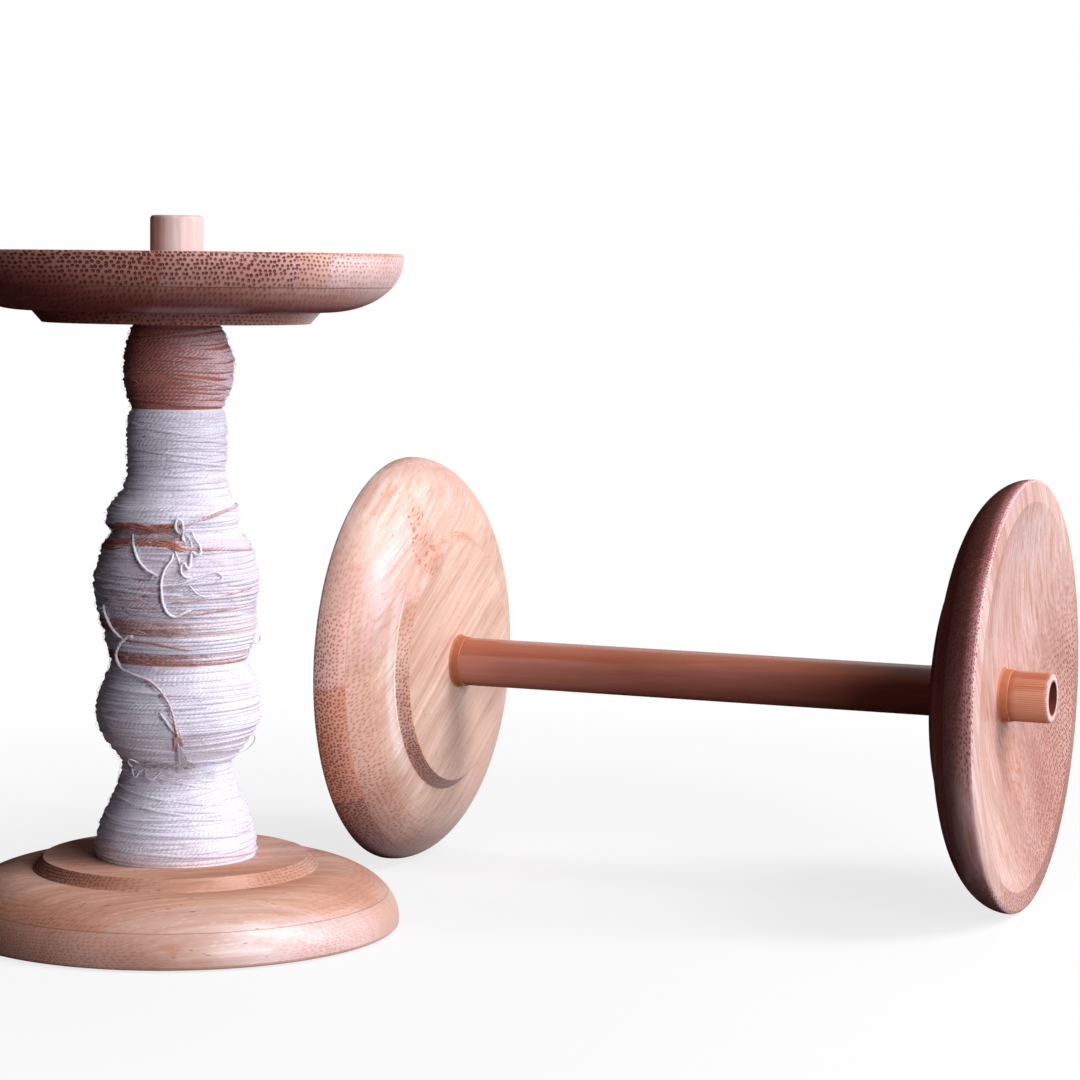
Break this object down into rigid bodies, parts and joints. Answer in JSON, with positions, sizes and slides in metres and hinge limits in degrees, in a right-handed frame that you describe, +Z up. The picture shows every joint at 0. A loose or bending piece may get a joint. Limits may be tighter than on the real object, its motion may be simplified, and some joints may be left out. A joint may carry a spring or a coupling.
{
  "type": "electric spinning wheel bobbin pair",
  "caption": "Pair of turned bamboo bobbins for an electric spinning wheel, upright wound with yarn and empty lying on its flange rims, each bored for the flyer shaft.",
  "frame": {"origin": "on the table, at the centre of the bore where the wound bobbin's tube ends", "axes": "+Z up along the wound bobbin's bore; +X along the empty bobbin's bore, towards its right flange; +Y away from the viewer"},
  "size_m": [0.2255, 0.1956, 0.1578],
  "materials": {
    "bamboo_board": "satin clear lacquer over laminated bamboo",
    "bamboo_tube_pale": "satin, pale bamboo",
    "bamboo_tube_red": "satin, red-brown bamboo",
    "amber_glue": "glossy set glue",
    "yarn_white": "matt spun cotton, slightly fuzzy",
    "yarn_terracotta": "matt spun cotton, slightly fuzzy",
    "yarn_blush": "matt spun cotton, slightly fuzzy"
  },
  "bodies": {
    "wound_bobbin": {"wound_tube": "bamboo_tube_pale", "wound_lower_rim_ply": "bamboo_board", "wound_lower_step_ply": "bamboo_board", "wound_upper_step_ply": "bamboo_board", "wound_upper_rim_ply": "bamboo_board", "wound_glue": "amber_glue", "white_foot": "yarn_white", "white_hip": "yarn_white", "rust_band": "yarn_terracotta", "white_mid_band": "yarn_white", "blush_band": "yarn_blush", "white_belly": "yarn_white", "white_shoulder": "yarn_white", "white_neck": "yarn_white", "terracotta_cop": "yarn_terracotta", "foot_turns": "yarn_white", "hip_turns": "yarn_white", "rust_band_turns": "yarn_terracotta", "belly_turns": "yarn_white", "rust_strand": "yarn_terracotta", "neck_turns": "yarn_white", "cop_turns": "yarn_terracotta", "yarn_tail": "yarn_blush", "loose_loops": "yarn_white"},
    "empty_bobbin": {"empty_tube": "bamboo_tube_red", "empty_left_rim_ply": "bamboo_board", "empty_left_step_ply": "bamboo_board", "empty_right_step_ply": "bamboo_board", "empty_right_rim_ply": "bamboo_board", "empty_glue": "amber_glue"}
  },
  "joints": [
    {"name": "empty_bobbin_spin", "type": "hinge", "parent": "wound_bobbin", "child": "empty_bobbin", "pos_m": [0.0934, 0.0956, 0.05], "axis": [1, 0, 0], "continuous": true}
  ]
}
